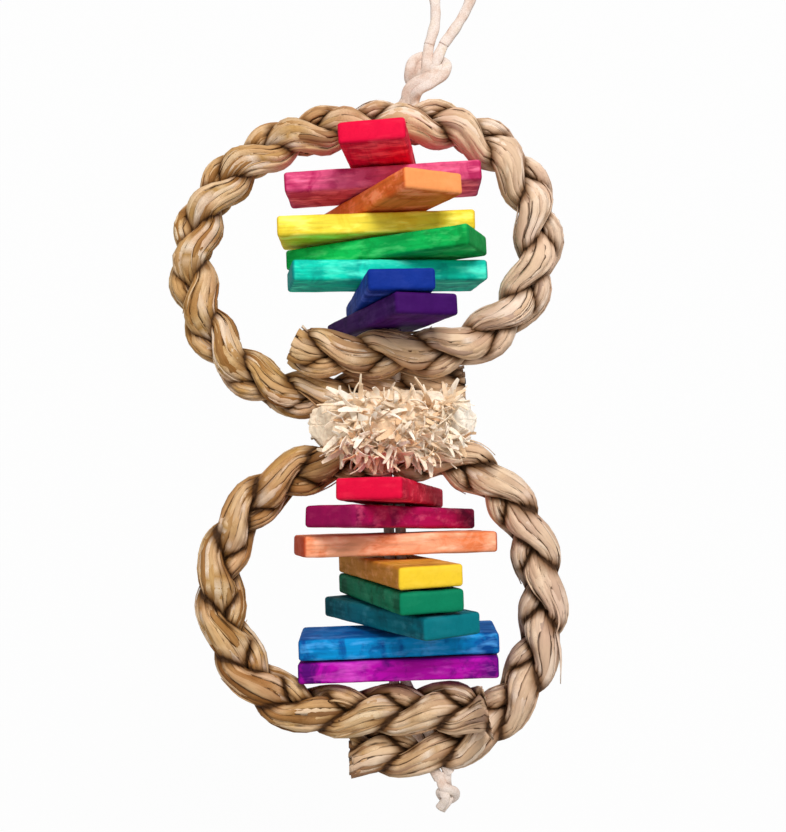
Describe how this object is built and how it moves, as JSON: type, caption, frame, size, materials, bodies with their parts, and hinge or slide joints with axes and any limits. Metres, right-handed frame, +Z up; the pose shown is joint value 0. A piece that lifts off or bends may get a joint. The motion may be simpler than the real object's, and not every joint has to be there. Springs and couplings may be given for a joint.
{
  "type": "hanging bird toy",
  "caption": "Hanging bird toy: plaited rope rings, one above the other, hold stacks of dyed wooden slats threaded on a doubled leather lace, with a wad of wood shavings between the rings.",
  "frame": {"origin": "the underside of the hanging loop's crown, where a hook bears", "axes": "+Z up along the lace, X across the rings, +Y from the front of the toy to its back"},
  "size_m": [0.1183, 0.061, 0.2751],
  "materials": {
    "leather_lace": "natural, undyed, matte",
    "seagrass_rope": "natural seagrass, plaited in three strands",
    "wood_shavings": "pale curled shavings",
    "upper_red_wood": "dyed, matte",
    "upper_pink_wood": "dyed, matte",
    "upper_orange_wood": "dyed, matte",
    "upper_yellow_wood": "dyed, matte",
    "upper_green_wood": "dyed, matte",
    "upper_turquoise_wood": "dyed, matte",
    "upper_blue_wood": "dyed, matte",
    "upper_purple_wood": "dyed, matte",
    "lower_red_wood": "dyed, matte",
    "lower_magenta_wood": "dyed, matte",
    "lower_orange_wood": "dyed, matte",
    "lower_yellow_wood": "dyed, matte",
    "lower_green_wood": "dyed, matte",
    "lower_teal_wood": "dyed, matte",
    "lower_blue_wood": "dyed, matte",
    "lower_violet_wood": "dyed, matte"
  },
  "bodies": {
    "upper_tier": {"hang_loop": "leather_lace", "top_knot": "leather_lace", "upper_lace_left": "leather_lace", "upper_lace_right": "leather_lace", "upper_ring": "seagrass_rope", "shavings_upper": "wood_shavings"},
    "upper_slat_red": {"upper_slat_red": "upper_red_wood"},
    "upper_slat_pink": {"upper_slat_pink": "upper_pink_wood"},
    "upper_slat_orange": {"upper_slat_orange": "upper_orange_wood"},
    "upper_slat_yellow": {"upper_slat_yellow": "upper_yellow_wood"},
    "upper_slat_green": {"upper_slat_green": "upper_green_wood"},
    "upper_slat_turquoise": {"upper_slat_turquoise": "upper_turquoise_wood"},
    "upper_slat_blue": {"upper_slat_blue": "upper_blue_wood"},
    "upper_slat_purple": {"upper_slat_purple": "upper_purple_wood"},
    "link": {"shavings_lower": "wood_shavings", "link_lace_left": "leather_lace", "link_lace_right": "leather_lace"},
    "lower_tier": {"lower_lace_left": "leather_lace", "lower_lace_right": "leather_lace", "lower_ring": "seagrass_rope", "bottom_knot": "leather_lace"},
    "lower_slat_red": {"lower_slat_red": "lower_red_wood"},
    "lower_slat_magenta": {"lower_slat_magenta": "lower_magenta_wood"},
    "lower_slat_orange": {"lower_slat_orange": "lower_orange_wood"},
    "lower_slat_yellow": {"lower_slat_yellow": "lower_yellow_wood"},
    "lower_slat_green": {"lower_slat_green": "lower_green_wood"},
    "lower_slat_teal": {"lower_slat_teal": "lower_teal_wood"},
    "lower_slat_blue": {"lower_slat_blue": "lower_blue_wood"},
    "lower_slat_violet": {"lower_slat_violet": "lower_violet_wood"}
  },
  "joints": [
    {"name": "upper_red_spin", "type": "hinge", "parent": "upper_tier", "child": "upper_slat_red", "pos_m": [-0.02337, 0, -0.07452], "axis": [-0.0175, 0.0314, 0.9994], "range_deg": [-48, 44]},
    {"name": "upper_pink_spin", "type": "hinge", "parent": "upper_tier", "child": "upper_slat_pink", "pos_m": [-0.02337, 0, -0.08146], "axis": [-0.0314, 0.0314, 0.999], "continuous": true},
    {"name": "upper_orange_spin", "type": "hinge", "parent": "upper_tier", "child": "upper_slat_orange", "pos_m": [-0.02337, 0, -0.08834], "axis": [-0.0192, 0.0314, 0.9993], "continuous": true},
    {"name": "upper_yellow_spin", "type": "hinge", "parent": "upper_tier", "child": "upper_slat_yellow", "pos_m": [-0.02337, 0, -0.09534], "axis": [-0.0035, 0.0349, 0.9994], "continuous": true},
    {"name": "upper_green_spin", "type": "hinge", "parent": "upper_tier", "child": "upper_slat_green", "pos_m": [-0.02337, 0, -0.10243], "axis": [-0.0227, 0.0332, 0.9992], "continuous": true},
    {"name": "upper_turquoise_spin", "type": "hinge", "parent": "upper_tier", "child": "upper_slat_turquoise", "pos_m": [-0.02337, 0, -0.10942], "axis": [-0.007, 0.0349, 0.9994], "continuous": true},
    {"name": "upper_blue_spin", "type": "hinge", "parent": "upper_tier", "child": "upper_slat_blue", "pos_m": [-0.02337, 0, -0.11622], "axis": [-0.0157, 0.0314, 0.9994], "continuous": true},
    {"name": "upper_purple_spin", "type": "hinge", "parent": "upper_tier", "child": "upper_slat_purple", "pos_m": [-0.02337, 0, -0.12288], "axis": [-0.0105, 0.0314, 0.9995], "range_deg": [-58, 18]},
    {"name": "lower_twist", "type": "hinge", "parent": "upper_tier", "child": "link", "pos_m": [-0.02337, 0, -0.154], "axis": [0, 0, 1], "range_deg": [-90, 90]},
    {"name": "lower_swing", "type": "hinge", "parent": "link", "child": "lower_tier", "pos_m": [-0.02337, 0, -0.15575], "axis": [1, 0, 0], "range_deg": [-15, 15], "deforming": ["shavings_lower"]},
    {"name": "lower_red_spin", "type": "hinge", "parent": "lower_tier", "child": "lower_slat_red", "pos_m": [-0.02337, 0, -0.17531], "axis": [0.0262, 0.0958, 0.9951], "range_deg": [-30, 58]},
    {"name": "lower_magenta_spin", "type": "hinge", "parent": "lower_tier", "child": "lower_slat_magenta", "pos_m": [-0.02337, 0, -0.18235], "axis": [0.0314, 0.0802, 0.9963], "range_deg": [-20, 94]},
    {"name": "lower_orange_spin", "type": "hinge", "parent": "lower_tier", "child": "lower_slat_orange", "pos_m": [-0.02337, 0, -0.19006], "axis": [0.014, 0.0454, 0.9989], "continuous": true},
    {"name": "lower_yellow_spin", "type": "hinge", "parent": "lower_tier", "child": "lower_slat_yellow", "pos_m": [-0.02337, 0, -0.19755], "axis": [0.0087, 0.014, 0.9999], "continuous": true},
    {"name": "lower_green_spin", "type": "hinge", "parent": "lower_tier", "child": "lower_slat_green", "pos_m": [-0.02337, 0, -0.20426], "axis": [0.0087, 0.007, 0.9999], "continuous": true},
    {"name": "lower_teal_spin", "type": "hinge", "parent": "lower_tier", "child": "lower_slat_teal", "pos_m": [-0.02337, 0, -0.21117], "axis": [0.0035, -0.0052, 1], "continuous": true},
    {"name": "lower_blue_spin", "type": "hinge", "parent": "lower_tier", "child": "lower_slat_blue", "pos_m": [-0.02337, 0, -0.21893], "axis": [-0.0035, -0.0454, 0.999], "continuous": true},
    {"name": "lower_violet_spin", "type": "hinge", "parent": "lower_tier", "child": "lower_slat_violet", "pos_m": [-0.02337, 0, -0.22589], "axis": [-0.0087, -0.0314, 0.9995], "continuous": true}
  ]
}
